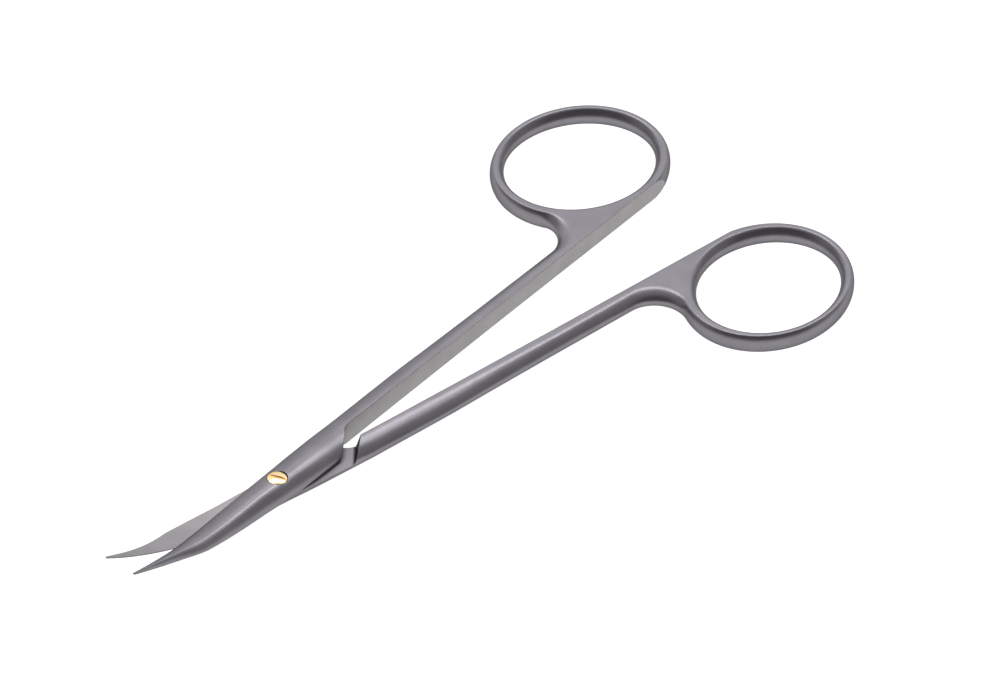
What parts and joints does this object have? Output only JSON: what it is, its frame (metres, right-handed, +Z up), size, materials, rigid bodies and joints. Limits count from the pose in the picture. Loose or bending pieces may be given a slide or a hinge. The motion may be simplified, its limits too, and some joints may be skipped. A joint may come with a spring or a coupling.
{
  "type": "curved dissecting scissors",
  "caption": "Fine surgical dissecting scissors with curved pointed blades, a lap joint on a slotted screw and oval finger rings.",
  "frame": {"origin": "centre of the bounding box, at its underside, where the shanks and rings lie on the table", "axes": "+X from the blade tips to the finger rings, +Y across the pair, +Z up along the screw axis, out of its slotted head"},
  "size_m": [0.1136, 0.0554, 0.007],
  "materials": {
    "coated_steel": "satin dark grey wear-resistant coating",
    "gilt_screw": "polished gilt"
  },
  "bodies": {
    "lower_half_body": {"lower_half": "coated_steel", "joint_screw": "gilt_screw"},
    "upper_half_body": {"upper_half": "coated_steel"}
  },
  "joints": [
    {"name": "screw_joint", "type": "hinge", "parent": "lower_half_body", "child": "upper_half_body", "pos_m": [-0.02789, 0, 0.00204], "axis": [0, 0, 1], "range_deg": [-10, 70]}
  ]
}
